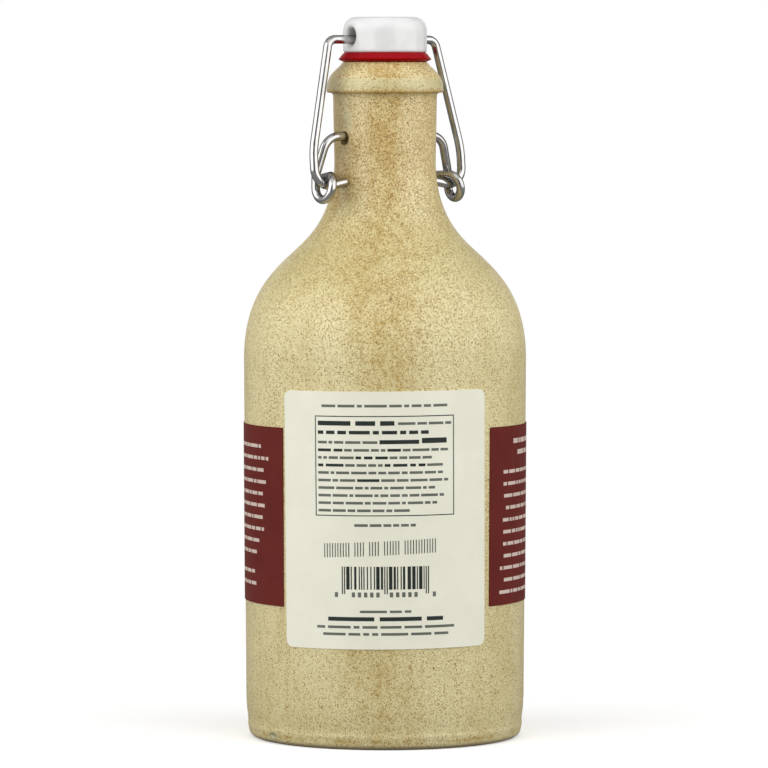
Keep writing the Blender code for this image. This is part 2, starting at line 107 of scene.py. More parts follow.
BORE_Z = STOPPER_TOP_Z - 5.6 * MM
BORE_Y = 1.5 * MM
BORE_SLACK = 1.2 * MM
BORE_RADIUS = WIRE_RADIUS + BORE_SLACK
BORE_SIDES = 96
MOUTH_ROUND = 1.9 * MM           # rounding between the bore and the stopper's side
MOUTH_TURN = math.radians(84)
MOUTH_LIFT = 0.01 * MM
MOUTH_STEPS = 16
MOUTH_BEYOND = 3 * MM            # the bore's cutter reaches this far out of its mouth,
MOUTH_FLARE = 0.2 * MM           # and widens by this on the way
GASKET_WAVES = ((3, 0.004, 0.6), (7, 0.0025, 0.0))    # waves round the ring, size and phase

# ---------------------------------------------------------------- closure wires
PIN_Z = PIN_HOLE_Z + 0.8 * MM - FIT_GAP
CROSSBAR_Z = BORE_Z - BORE_SLACK + FIT_GAP
EYE_SLACK = 0.9 * MM
COIL_RADIUS = WIRE_DIAMETER + EYE_SLACK
COIL_SHIFT = WIRE_DIAMETER + FIT_GAP
COIL_TURN = math.radians(270)
COIL_LATE_SHIFT = 3.3            # the coil steps sideways late in its turn
EYE_Y = -2.2 * MM
EYE_Z = PIN_Z - 14.6 * MM
EYE_BESIDE_NECK = 9.3 * MM
LEVER_SHOULDER_OUT = 6.0 * MM
LEVER_BEND = 5.0 * MM
LEVER_LOOP_CLEARANCE = 1.6 * MM
LEVER_DROOP = 1.5 * MM
TAB_REACH = 4.1 * MM
TAB_HALF_ROOT = 7.0 * MM
TAB_HALF_TIP = 5.6 * MM
TAB_BEND = 2.0 * MM
TAB_LEAD = 1.8 * MM              # straight stretch before the tab's first bend
BAIL_BESIDE_STOPPER = 7.0 * MM
BAIL_BEYOND_ARM = 2.6 * MM
BAIL_CORNER_BEND = 2.8 * MM
BAIL_KNEE_ABOVE_EYE = 10.9 * MM
BAIL_KNEE_BEND = 25.0 * MM
HOOK_BEND = 5.0 * MM
HOOK_RISE = math.radians(10.5)
HOOK_END_CLEARANCE = 0.6 * MM
WIRE_ROUNDNESS = 10
BEND_STEPS = 20
COIL_STEPS = 72
LOOP_STEPS = 48
WIRE_END_ROUND = 0.25 * MM
WIRE_END_SHARE = 0.82            # end radius as a share of the wire's

# ---------------------------------------------------------------- labels
BACK_LABEL_ANGLE = math.radians(-127)    # direction of the back label's middle, from +X
BACK_LABEL_WIDTH = 62.2 * MM
BACK_LABEL_CORNER = 2.2 * MM
BACK_LABEL_TILT = math.radians(0.38)
SEAM_WIDE = 2.2 * MM
SEAM_NARROW = 1.0 * MM
PAPER_UNDER = -0.05 * MM         # the paper's two faces, measured out from the wall
PAPER_OVER = 0.25 * MM
INK_UNDER = 0.24 * MM
INK_OVER = 0.27 * MM
LABEL_COLUMN = 1.2 * MM
# The print of the back label, from here to STRIPE, is measured in millimetres.
PANEL_HALF = 20.3
PANEL_MARGIN = 0.9
PANEL_HEAD = 6.9
PANEL_FOOT = 35.3
PANEL_LINE = 0.28
PANEL_ROW_DROP = 16.6            # first fine row of the panel, below the label's top
PANEL_ROW_STEP = 2.14
PANEL_ROW_ENDS = (18.4, 13.5, 16.8, 16.8, 18.4, 14.4, 17.1, 15.0, 7.0)
FINE_TALL = 0.75
FINE_LETTER = 0.55
HEAVY_LINES = (                  # left, right, drop, height and letter of a bold line
    (PANEL_MARGIN - PANEL_HALF, 2.8, 9.0, 1.3, 1.4), (PANEL_MARGIN - PANEL_HALF, 12.6, 11.6, 1.0, 0.85),
    (-1.4, 9.8, 14.3, 1.15, 1.3), (10.6, 18.0, 14.0, 1.5, 1.8))
HEAVY_RUNS = (                   # row of the panel, and the ends of a bold run in it
    (0, -19.4, -12.0), (0, 0.8, 4.6), (1, -8.2, 0.9), (2, -19.4, -11.7), (2, 0.0, 11.6),
    (4, -7.8, -1.5))
STAMP_LEFT = -17.7
STAMP_FOOT = 46.4
STAMP_TALL = 4.0
STAMP_TICK = 0.26
STAMP_STEP = 0.80
STAMP_GAP = 1.0
STAMP_GROUPS = (10, 4, 4, 6, 12)  # ticks in each group
STAMP_TILT = math.radians(2.3)
STRIPES_HALF = 12.5
STRIPES_HEAD = 49.6
STRIPES_FOOT = 56.1
GUARD_FOOT = 57.4
STRIPE = 0.33
WORD_GAP = 1.0                   # gap between words, in letters
WORD_LETTERS = (2, 9)
SHORTEST_WORD = 3                # a line's last word is joined to the one before if shorter
CORNER_HAIR = 0.01 * MM
FRONT_HALF = 34 * MM             # pale field on the wrap, opposite the back label
FRONT_MARGIN = 7 * MM
FRONT_INSET = 2.4 * MM
FRONT_INK_OVER = 0.29 * MM
CORNER_STEPS = 6
PAPERS = {
    # name: (first colour, second colour, roughness, gloss)
    "cream_paper": ((243, 241, 223), (239, 237, 218), 0.42),
    "maroon_paper": ((106, 41, 36), (101, 38, 33), 0.42, 0.06),
    "dark_ink": ((38, 46, 42), (44, 52, 48), 0.5, 0.2),
    "grey_ink": ((108, 113, 104), (100, 105, 96), 0.5, 0.2),
    "pale_ink": ((216, 196, 184), (208, 187, 175), 0.5),
    "front_ink": ((110, 44, 38), (103, 40, 34), 0.45, 0.2),
}

# ---------------------------------------------------------------- stage and camera
FLOOR_HALF = 2.5
FLOOR_GLOW = 0.3
FLOOR_NEAR, FLOOR_FAR = 0.10, 0.3    # the floor fades to white between these distances
VIEW_AZIMUTH = math.radians(37)  # the camera stands this far from -Y, towards -X
CAMERA_DISTANCE = 1.6
CAMERA_HEIGHT = 0.190
AIM_HEIGHT = 0.102
CAMERA_SIDESTEP = -0.29 * MM
LENS = 259.5
SENSOR = 36
AMBIENT = 0.53
CARDS = {
    # name: (degrees round from the camera, distance, height of the middle, width, tall)
    "camera_card": (0, 2.3, 0.9, 1.0, 1.8),
    "far_left_card": (-140, 1.2, 0.6, 0.4, 1.2),
    "far_right_card": (140, 1.2, 0.6, 0.4, 1.2),
    "back_card": (180, 1.2, 1.1, 1.6, 0.5),
}
SOFT_BOXES = {
    # name: (degrees round from the camera, distance, height, width, tall, radiance)
    "left_box": (-62, 1.1, 0.45, 1.5, 1.4, 1.75),
    "right_box": (62, 1.1, 0.45, 1.5, 1.4, 1.6),
    "top_box": (0, 0.7, 1.0, 0.9, 0.9, 0.68),
}


# ---------------------------------------------------------------- shader helpers
def display(red, green, blue):
    """A display colour of 0-255 as the linear values that a shader takes."""
    def channel(value):
        share = value / 255
        return share / 12.92 if share <= 0.04045 else ((share + 0.055) / 1.055) ** 2.4
    return (channel(red), channel(green), channel(blue), 1.0)


class Value:
    """A node's output.  Arithmetic with it adds nodes to its own tree."""

    def __init__(self, socket):
        self.socket = socket
        self.tree = socket.id_data

    def maths(self, operation, *others, clamp=False):
        inputs = dict(enumerate((self, *others)))
        return node_value(self.tree, "Math", inputs, operation=operation, use_clamp=clamp)

    __add__ = partialmethod(maths, 'ADD')
    __sub__ = partialmethod(maths, 'SUBTRACT')
    __mul__ = partialmethod(maths, 'MULTIPLY')
    __truediv__ = partialmethod(maths, 'DIVIDE')

    def __rtruediv__(self, other):
        return node_value(self.tree, "Math", {0: other, 1: self}, operation='DIVIDE')


def put(value, socket):
    """Links a value to an input, or sets the input to a constant."""
    if isinstance(value, Value):
        value.tree.links.new(value.socket, socket)
    else:
        socket.default_value = value


def add_node(tree, kind, inputs=None, **settings):
    """A shader node with its settings made, and its inputs by name or place."""
    made = tree.nodes.new("ShaderNode" + kind)
    for name, setting in settings.items():
        setattr(made, name, setting)
    for name, value in (inputs or {}).items():
        put(value, made.inputs[name])
    return made


def node_value(tree, kind, inputs=None, out=0, **settings):
    return Value(add_node(tree, kind, inputs, **settings).outputs[out])


def vector_maths(operation, first, second=(0, 0, 0), out=0):
    return node_value(first.tree, "VectorMath", {0: first, 1: second}, out, operation=operation)


def length(vector):
    return vector_maths('LENGTH', vector, out="Value")


def axis(vector, index):
    return node_value(vector.tree, "SeparateXYZ", {0: vector}, index)


def grey(value):
    return node_value(value.tree, "CombineColor", {0: value, 1: value, 2: value})


def mix(first, second, factor, blend="MIX"):
    """A mix of two colours, each a node's colour or a display colour as a tuple."""
    tree = next(item.tree for item in (factor, first, second) if isinstance(item, Value))
    first, second = (display(*item) if isinstance(item, tuple) else item for item in (first, second))
    inputs = {0: factor, 6: first, 7: second}
    return node_value(tree, "Mix", inputs, 2, data_type='RGBA', blend_type=blend)


def tinted(colour, tint, share=1.0):
    return mix(colour, tint, share, "MULTIPLY")


def ramp(value, low, high, to_low=0.0, to_high=1.0):
    """A smooth step of `value` from `low` to `high`."""
    inputs = {"Value": value, "From Min": low, "From Max": high, "To Min": to_low, "To Max": to_high}
    return node_value(value.tree, "MapRange", inputs, interpolation_type='SMOOTHSTEP')


def noise(place, scale, detail, roughness=0.5, out=0):
    inputs = {"Vector": place, "Scale": scale, "Detail": detail, "Roughness": roughness}
    return node_value(place.tree, "TexNoise", inputs, out)


# ---------------------------------------------------------------- shared effects
def shader_group(inputs, outputs):
    """Turns a function into the node group that it fills.

    The group has a Vector input besides `inputs`, which give each default or None for a vector.
    """
    def filled(fill):
        group = bpy.data.node_groups.new(fill.__name__, "ShaderNodeTree")
        for name, default in {"Vector": None, **inputs}.items():
            kind = "NodeSocketVector" if default is None else "NodeSocketFloat"
            socket = group.interface.new_socket(name, in_out='INPUT', socket_type=kind)
            if default is not None:
                socket.default_value = default
        for name, kind in outputs.items():
            group.interface.new_socket(name, in_out='OUTPUT', socket_type="NodeSocket" + kind)
        given = {socket.name: Value(socket) for socket in group.nodes.new("NodeGroupInput").outputs}
        fill(given, group.nodes.new("NodeGroupOutput").inputs)
        return group
    return filled


def use_group(group, place, **inputs):
    """Places a group that reads `place`, and gives its outputs by name."""
    placed = add_node(place.tree, "Group", {"Vector": place, **inputs}, node_tree=group)
    return {socket.name: Value(socket) for socket in placed.outputs}


def mask(group, place, **inputs):
    return use_group(group, place, **inputs)["Mask"]


@shader_group({"Size": 0.01, "Stretch": 1.0, "Low": 0.45, "High": 0.6}, {"Mask": "Float"})
def soft_mottle(given, out):
    """Cloudy patches of a given size: 0 outside them and 1 in their middle."""
    scale = 1.0 / given["Size"]
    scales = node_value(scale.tree, "CombineXYZ", {0: scale, 1: scale, 2: scale / given["Stretch"]})
    clouds = noise(vector_maths('MULTIPLY', given["Vector"], scales), 1.0, 3.0, 0.55)
    put(ramp(clouds, given["Low"], given["High"]), out["Mask"])


@shader_group({"Spacing": 0.001, "Size": 0.3, "Share": 0.5}, {"Mask": "Float", "Halo": "Float"})
def specks(given, out):
    """Scattered ragged specks, `Spacing` apart and up to `Size` of it in radius, and a halo round each."""
    scale = 1.0 / given["Spacing"]
    wobble = noise(given["Vector"], scale * 1.8, 2.0, out="Color")
    swing = vector_maths('SUBTRACT', wobble, (0.5, 0.5, 0.5))
    moved = node_value(swing.tree, "VectorMath", {0: swing, 3: given["Spacing"]}, operation='SCALE')
    ragged = vector_maths('ADD', given["Vector"], moved)
    cells = add_node(ragged.tree, "TexVoronoi", {"Vector": ragged, "Scale": scale, "Randomness": 1.0})
    away = Value(cells.outputs["Distance"])
    draws = add_node(away.tree, "SeparateColor", {0: Value(cells.outputs["Color"])})
    presence, size, depth = [Value(socket) for socket in draws.outputs]
    radius = given["Size"] * (size * 0.4 + 0.6)
    core = radius * 0.6
    present = presence.maths('LESS_THAN', given["Share"])
    put(ramp(away, core, radius * 1.8, 1.0, 0.0) * present, out["Halo"])
    speck = ramp(away, core, radius, 1.0, 0.0) * present
    put((depth * 0.3 + 0.7) * speck, out["Mask"])


@shader_group({"Size": 0.001, "Cover": 0.0}, {"Mask": "Float"})
def freckles(given, out):
    """Fine ragged marks; `Cover` raises the share of the surface that they take."""
    marks = noise(given["Vector"], 1.0 / given["Size"], 1.0) + given["Cover"]
    put(ramp(marks, 0.44, 0.66), out["Mask"])


@shader_group({"Size": 0.001, "Amount": 0.05}, {"Tint": "Color", "Height": "Float"})
def fine_grain(given, out):
    """A faint unevenness: a tint round 1 and a height, both from noise of a given size."""
    height = noise(given["Vector"], 1.0 / given["Size"], 4.0, 0.6)
    put(grey((height - 0.5) * given["Amount"] + 1.0), out["Tint"])
    put(height, out["Height"])


@shader_group({"Centre": 0.0, "Half": 0.001, "Soft": 0.001}, {"Mask": "Float"})
def height_band(given, out):
    """1 within `Half` of the height `Centre`, falling to 0 over `Soft`."""
    away = (axis(given["Vector"], 2) - given["Centre"]).maths('ABSOLUTE')
    put(ramp(away, given["Half"], given["Half"] + given["Soft"], 1.0, 0.0), out["Mask"])


@shader_group({"Middle": None, "Radii": None}, {"Mask": "Float"})
def spot(given, out):
    """1 inside an upright oval patch round `Middle`, falling softly to 0 at its edge."""
    away = vector_maths('SUBTRACT', given["Vector"], given["Middle"])
    distance = length(vector_maths('DIVIDE', away, given["Radii"]))
    put(ramp(distance, 0.35, 1.0, 1.0, 0.0), out["Mask"])


# ---------------------------------------------------------------- finishes
def new_material(name):
    material = bpy.data.materials.new(name)
    material.use_nodes = True
    tree = material.node_tree
    return material, tree.nodes["Principled BSDF"], node_value(tree, "TexCoord", out="Object")


def shape_surface(shader, colour, roughness, height=None, distance=0.0):
    """Gives a shader its colour, its roughness and a relief of `distance` from `height`."""
    put(colour, shader.inputs["Base Color"])
    put(roughness, shader.inputs["Roughness"])
    if height:
        inputs = {"Height": height, "Distance": distance, "Strength": 1.0}
        put(node_value(height.tree, "Bump", inputs), shader.inputs["Normal"])


def clouded(place, size, low, first, second):
    """Two near colours in soft clouds, and the clouds themselves."""
    cloud = mask(soft_mottle, place, Size=size, Low=low, High=0.65)
    return mix(first, second, cloud), cloud


def upright_spot(place, middle, across, tall):
    return mask(spot, place, Middle=middle, Radii=(across, across, tall))


def level_band(place, centre, half, soft):
    return mask(height_band, place, Centre=centre, Half=half, Soft=soft)


def speckled_glaze():
    """Satin ash glaze over stoneware: cream-tan, peppered with brown, browner where the glaze is thinner;
    some shade is painted in.
    """
    material, shader, place = new_material("speckled_glaze")
    cream = (238, 224, 178)
    tan = (229, 213, 163)
    ochre = (190, 154, 76)
    straw = (158, 120, 40)
    pale = (206, 197, 153)
    umber = (120, 72, 0)
    halo = (182, 136, 40)
    dark = (62, 42, 22)
    brown = (100, 54, 0)
    clay = (190, 172, 136)

    height = axis(place, 2)
    upper = ramp(height, 85 * MM, 165 * MM)
    facing = vector_maths('DOT_PRODUCT', place, polar(BACK_LABEL_ANGLE, 1.0), "Value")
    front = facing / length(vector_maths('MULTIPLY', place, (1, 1, 0)))

    # where the glaze is thinner, with painted shade down the side facing the camera and by the left eye
    cloud = mask(soft_mottle, place, Size=0.018, Stretch=2.0, Low=0.36, High=0.66)
    blotch = mask(soft_mottle, place, Size=0.0038, Stretch=1.6, Low=0.44, High=0.62)
    smudge = mask(soft_mottle, place, Size=0.0011, Low=0.46, High=0.66)
    # a brown patch round the left eye and hook: partly a stain, partly painted shade of the wires on the
    # neck's left
    stain_and_wire_shade = upright_spot(place, (-14.5 * MM, 2.0 * MM, EYE_Z + 6 * MM), 11 * MM, 22 * MM)
    # a browner band down the side that faces the camera: brown mottling, partly painted shade of the
    # darker middle between the side lamps
    band = (ramp(front, 0.90, 0.998) * (upper * 0.35 + 0.65)).maths('MAXIMUM', stain_and_wire_shade)
    # thin holds the band and the patch by the left eye too: partly thinner glaze, partly painted shade
    thin = band * (blotch * 0.6 + 0.4)
    thin = (cloud * blotch * 0.3).maths('ADD', thin, clamp=True)
    tinge = (smudge * 0.15).maths('ADD', (smudge * 0.6 + 0.3) * thin, clamp=True)
    colour = mix(mix(cream, tan, cloud), ochre, tinge * 0.75)

    # where it pooled thick, and where it wore off an edge
    ring = level_band(place, LIP_Z - 6.2 * MM, 1.1 * MM, 1.0 * MM)
    smear = upright_spot(place, (-14.8 * MM, -1.3 * MM, PIN_HOLE_Z + 5.0 * MM), 3.2 * MM, 3.6 * MM)
    chipped = upright_spot(place, chip_middle(0), 3.0 * MM, 1.7 * MM)
    pooled = ring.maths('MAXIMUM', smear.maths('MAXIMUM', chipped))
    colour = mix(colour, pale, pooled * 0.85)
    collar_line = level_band(place, LIP_Z - 8.55 * MM, 0.15 * MM, 0.45 * MM)
    foot_line = level_band(place, 2.4 * MM, 0.2 * MM, 0.5 * MM)
    worn = collar_line.maths('MAXIMUM', foot_line * blotch)
    colour = mix(colour, ochre, worn * 0.5)

    # the specks, from the finest to the largest
    cover = thin * 0.3 + 0.50 + upper * 0.29 + worn * 0.4 - pooled * 0.6
    fine = mask(freckles, place, Size=0.00038, Cover=cover * 0.12 - 0.06)
    colour = mix(colour, straw, fine * 0.28)
    small = upper * 0.05 + 0.41
    medium = upper * 0.045 + 0.235
    pepper = use_group(specks, place, Spacing=0.00048, Size=small, Share=cover)
    dots = use_group(specks, place, Spacing=0.00080, Size=medium, Share=cover - 0.15)
    for marks, ink in ((pepper, umber), (dots, brown)):
        colour = mix(colour, halo, marks["Halo"] * 0.5)
        colour = mix(colour, ink, marks["Mask"])
    large = mask(specks, place, Spacing=0.0042, Size=0.085, Share=0.45)
    colour = mix(colour, dark, large * (pooled * -0.8 + 0.9))

    # slow changes of tone up the jug, with painted shade among them
    colour = tinted(colour, use_group(fine_grain, place, Size=0.0004, Amount=0.8)["Tint"])
    # darker towards the foot: painted shade of the light from above
    colour = tinted(colour, grey(ramp(height, -20 * MM, 120 * MM, 0.93, 1.01)))
    colour = tinted(colour, (250, 254, 250), ramp(height, 140 * MM, 165 * MM, 1.0, 0.0))
    # painted shade on the shoulder, which faces up into the top light
    colour = tinted(colour, (246, 247, 246), level_band(place, 142 * MM, 6 * MM, 14 * MM))
    colour = tinted(colour, (255, 254, 246), upper)
    # painted shade down the neck's left and the collar's left end
    painted_neck_shade = upright_spot(place, (-15.0 * MM, 5.0 * MM, LIP_Z - 15 * MM), 10 * MM, 30 * MM)
    colour = mix(colour, (120, 108, 84), painted_neck_shade * 0.4)

    # the bare foot, the chip and the rim of the foot
    down = axis(node_value(place.tree, "NewGeometry", out="Normal"), 2)
    bare = ramp(down, -0.9, -0.6, 1.0, 0.0) * ramp(height, 2.0 * MM, 2.5 * MM, 1.0, 0.0)
    colour = mix(colour, clay, bare)
    colour = mix(colour, (156, 150, 122), chipped * 0.6)
    colour = mix(colour, (150, 134, 104), ramp(height, 0.7 * MM, 1.3 * MM, 0.5, 0.0))

    rough = blotch * 0.08 + 0.32 - pooled * 0.12 + bare * 0.4
    relief = use_group(fine_grain, place, Size=0.0009, Amount=1.0)["Height"] - pepper["Mask"] * 0.2
    shape_surface(shader, colour, rough, relief, 0.0001)
    return material


def white_porcelain():
    """White glaze, with painted shade inside the mouths of the stopper's bore."""
    material, shader, place = new_material("white_porcelain")
    colour, cloud = clouded(place, 0.006, 0.35, (236, 236, 235), (231, 231, 231))
    grain = use_group(fine_grain, place, Size=0.0012, Amount=0.03)
    colour = tinted(colour, grain["Tint"])
    from_bore = vector_maths('SUBTRACT', place, (0, BORE_Y, BORE_Z))
    away = length(vector_maths('MULTIPLY', from_bore, (0, 1, 1)))
    inside = ramp(away, BORE_RADIUS + 0.6 * MM, BORE_RADIUS + 1.2 * MM, 1.0, 0.0)
    out = axis(place, 0).maths('ABSOLUTE')
    shadow = ramp(out, STOPPER_RADIUS - 5.0 * MM, STOPPER_RADIUS - 1.5 * MM, 0.25, 0.0)
    colour = mix(colour, (100, 96, 82), shadow * inside)
    shape_surface(shader, colour, cloud * 0.05 + 0.10, grain["Height"], 0.00001)
    return material


def red_rubber():
    """Dull red rubber, painted paler above the rim's tip as a sheen on its upper face."""
    material, shader, place = new_material("red_rubber")
    colour, cloud = clouded(place, 0.003, 0.4, (150, 2, 5), (142, 0, 3))
    # painted sheen: the ring is paler on its upper face, above its tip
    painted_top_sheen = ramp(axis(place, 2), RUBBER_TIP_Z - 0.1 * MM, RUBBER_TIP_Z + 0.1 * MM)
    colour = mix(colour, (157, 22, 30), painted_top_sheen)
    grain = use_group(fine_grain, place, Size=0.0005, Amount=0.10)
    shader.inputs["Specular IOR Level"].default_value = 0.03
    shape_surface(
        shader, tinted(colour, grain["Tint"]), cloud * 0.10 + 0.22, grain["Height"], 0.00002)
    return material


def drawn_steel():
    """Bright wire with faint marks along it from the drawing die."""
    material, shader, place = new_material("drawn_steel")
    along = node_value(place.tree, "UVMap", uv_map="UVMap")
    stretched = node_value(place.tree, "Mapping", {"Vector": along, "Scale": (26.0, 3.0, 1.0)})
    marks = use_group(fine_grain, stretched, Size=1.0, Amount=0.22)
    colour = clouded(place, 0.004, 0.4, (194, 193, 191), (178, 177, 175))[0]
    shader.inputs["Metallic"].default_value = 1.0
    shader.inputs["Specular Tint"].default_value = (0.30, 0.30, 0.29, 1.0)
    shape_surface(
        shader, tinted(colour, marks["Tint"]), marks["Height"] * 0.12 + 0.10, marks["Height"],
        0.000012)
    return material


def coated_paper(name, first, second, roughness, gloss=0.5):
    material, shader, place = new_material(name)
    colour, cloud = clouded(place, 0.011, 0.35, first, second)
    fibre = use_group(fine_grain, place, Size=0.0004, Amount=0.06)
    shader.inputs["Specular IOR Level"].default_value = gloss
    shape_surface(
        shader, tinted(colour, fibre["Tint"]), cloud * 0.06 + roughness, fibre["Height"], 0.000012)
    return material


# ---------------------------------------------------------------- outlines from the frame
def polar(angle, radius, height=0.0):
    """The place at an angle from +X, a distance from the jug's axis and a height."""
    return Vector((radius * math.cos(angle), radius * math.sin(angle), height))


def cad_outline(node):
    """A turned node's outline in the half plane x = 0, y >= 0, as (radius, height) from its top on."""
    section = bmesh.new()
    section.from_mesh(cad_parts[node].data)
    bmesh.ops.remove_doubles(section, verts=section.verts, dist=MERGE)
    for normal, clear_far in (((1, 0, 0), True), ((0, 1, 0), False)):
        everything = section.verts[:] + section.edges[:] + section.faces[:]
        bmesh.ops.bisect_plane(
            section, geom=everything, dist=MERGE, plane_co=(0, 0, 0), plane_no=normal,
            clear_inner=True, clear_outer=clear_far)
    here = max(section.verts, key=lambda vertex: (round(vertex.co.z, 6), -vertex.co.y))
    walked = [here]
    while True:
        ahead = [edge.other_vert(here) for edge in here.link_edges]
        ahead = [vertex for vertex in ahead if vertex not in walked]
        if not ahead:
            break
        here = max(ahead, key=lambda vertex: vertex.co.y)
        walked.append(here)
    outline = [Vector((vertex.co.y, vertex.co.z)) for vertex in walked]
    section.free()
    return without_straight_points(outline)


def without_straight_points(outline):
    kept = [outline[0]]
    for here, ahead in zip(outline[1:], outline[2:]):
        if (here - kept[-1]).angle(ahead - here, 0) > STRAIGHT_TURN:
            kept.append(here)
    kept.append(outline[-1])
    return kept


def smooth_outline(outline, spacing_at, closed=False):
    """The outline drawn as a smooth curve through its points, with its sharp corners kept."""
    padded = [outline[-1], *outline, *outline[:2]] if closed else [None, *outline, None]
    finer = [outline[0]]
    for before, start, end, after in zip(padded, padded[1:], padded[2:], padded[3:]):
        span = (end - start).length
        straight = (end - start) / span
        leave = tangent(before, start, end) or straight
        arrive = tangent(start, end, after) or straight
        steps = max(1, math.ceil(span / spacing_at(min(start.y, end.y))))
        for step in range(1, steps + 1):
            t = step / steps
            place = start * (2 * t ** 3 - 3 * t ** 2 + 1) + end * (3 * t ** 2 - 2 * t ** 3)
            place += leave * span * (t ** 3 - 2 * t ** 2 + t) + arrive * span * (t ** 3 - t ** 2)
            finer.append(place)
    return finer[:-1] if closed else finer


def tangent(before, here, after):
    """The curve's direction at `here`, or None at an end or a sharp corner."""
    if before is None or after is None:
        return None
    back, ahead = here - before, after - here
    if back.angle(ahead, 0) > CORNER_TURN:
        return None
    if back.length > LONG_RATIO * ahead.length:
        return back.normalized()
    if ahead.length > LONG_RATIO * back.length:
        return ahead.normalized()
    return (back.normalized() * ahead.length + ahead.normalized() * back.length).normalized()


def outline_radius(outline, height):
    """Radius of an outline at a height below its top face."""
    for upper, lower in zip(outline, outline[1:]):
        if lower.y <= height <= upper.y and upper.y > lower.y:
            share = (upper.y - height) / (upper.y - lower.y)
            return upper.x + (lower.x - upper.x) * share
    return outline[-1].x


def radius_at(height):
    """Radius of the jug's wall, shoulder or neck at a height under its collar."""
    return outline_radius(jug_outline, height)


def with_foot_bead(outline):
    """The outline with the low roll that the glaze forms above the foot."""
    beaded = []
    for point in outline:
        share = (point.y - FOOT_BEAD_Z) / FOOT_BEAD_WIDTH
        on_wall = point.x > WALL_SHARE * cad_box[1].x
        rise = FOOT_BEAD_RISE * math.exp(-share * share) if on_wall else 0.0
        beaded.append(point + Vector((rise, 0)))
    return beaded


# ---------------------------------------------------------------- mesh helpers
def link(name, data):
    item = bpy.data.objects.new(name, data)
    bpy.context.scene.collection.objects.link(item)
    return item


def finished(name, shell, material, nodes=()):
    """Puts a finished shell in the scene as a piece of the jug."""
    mesh = bpy.data.meshes.new(name)
    shell.to_mesh(mesh)
    shell.free()
    mesh.shade_smooth()
    mesh.set_sharp_from_angle(angle=SHARP_ANGLE)
    mesh.materials.append(material)
    piece = link(name, mesh)
    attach(piece, "root")
    if nodes:
        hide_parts(*nodes)


def closed_shell(shell):
    bmesh.ops.remove_doubles(shell, verts=shell.verts, dist=MERGE)
    bmesh.ops.recalc_face_normals(shell, faces=shell.faces)
    return shell


def spun(outline, steps, closed=False):
    """A closed shell turned about Z from (radius, height) points."""
    shell = bmesh.new()
    ring = [shell.verts.new((point.x, 0, point.y)) for point in outline]
    edges = [shell.edges.new(pair) for pair in zip(ring, ring[1:])]
    if closed:
        edges.append(shell.edges.new((ring[-1], ring[0])))
    bmesh.ops.spin(
        shell, geom=ring + edges, cent=(0, 0, 0), axis=(0, 0, 1), angle=2 * math.pi, steps=steps,
        use_merge=True)
    return closed_shell(shell)


def cut_with(shell, cutters):
    """The shell less each cutter, both as bmeshes; the result is a new bmesh."""
    body = link("cut_body", bpy.data.meshes.new("cut_body"))
    shell.to_mesh(body.data)
    used = [body]
    for cutter in cutters:
        tool = link("cut_tool", bpy.data.meshes.new("cut_tool"))
        cutter.to_mesh(tool.data)
        used.append(tool)
        boolean = body.modifiers.new("Cut", 'BOOLEAN')
        boolean.operation = 'DIFFERENCE'
        boolean.solver = 'EXACT'
        boolean.object = tool
    evaluated = body.evaluated_get(bpy.context.evaluated_depsgraph_get())
    made = bmesh.new()
    made.from_mesh(evaluated.data)
    for item in used:
        mesh = item.data
        bpy.data.objects.remove(item)
        bpy.data.meshes.remove(mesh)
    return made


def round_rims(shell, reach, width):
    """Rounds the sharp edges that lie within `reach` of a cutter's line, given as (y, z, radius)."""
    y, z, radius = reach
    rims = []
    for edge in shell.edges:
        middle = (edge.verts[0].co + edge.verts[1].co) / 2
        away = math.hypot(middle.y - y, middle.z - z)
        if edge.is_manifold and away < radius and edge.calc_face_angle(0) > SHARP_ANGLE:
            rims.append(edge)
    bmesh.ops.bevel(
        shell, geom=rims, offset=width, segments=3, profile=0.5, affect='EDGES', material=-1,
        clamp_overlap=True)


# ---------------------------------------------------------------- jug, stopper and ring
def chip_middle(out):
    """The chip's middle, moved `out` from the wall."""
    return polar(CHIP_ANGLE, radius_at(CHIP_Z) + out, CHIP_Z)


def make_jug(material):
    shell = spun(with_foot_bead(jug_outline), JUG_STEPS)
    floor = radius_at(PIN_HOLE_Z) - PIN_HOLE_DEPTH
    cutters = []
    for side in (-1, 1):
        depth = PIN_HOLE_DEPTH * 2
        hole = bmesh.new()
        bmesh.ops.create_cone(
            hole, cap_ends=True, segments=PIN_HOLE_SIDES, radius1=PIN_HOLE_RADIUS,
            radius2=PIN_HOLE_RADIUS, depth=depth,
            matrix=Matrix.Translation((side * (floor + depth / 2), 0, PIN_HOLE_Z))
            @ Matrix.Rotation(math.pi / 2, 4, 'Y'))
        cutters.append(hole)
    chip = bmesh.new()
    bmesh.ops.create_uvsphere(
        chip, u_segments=48, v_segments=32, radius=CHIP_SCOOP,
        matrix=Matrix.Translation(chip_middle(CHIP_SCOOP - CHIP_DEPTH))
        @ Matrix.Diagonal((1, 1, CHIP_SQUASH, 1)))
    cutters.append(chip)
    jug = cut_with(shell, cutters)
    rim_reach = PIN_HOLE_RADIUS + 2 * HOLE_ROUND
    round_rims(jug, (0, PIN_HOLE_Z, rim_reach), HOLE_ROUND)
    finished("jug_glazed", jug, material, ["jug"])


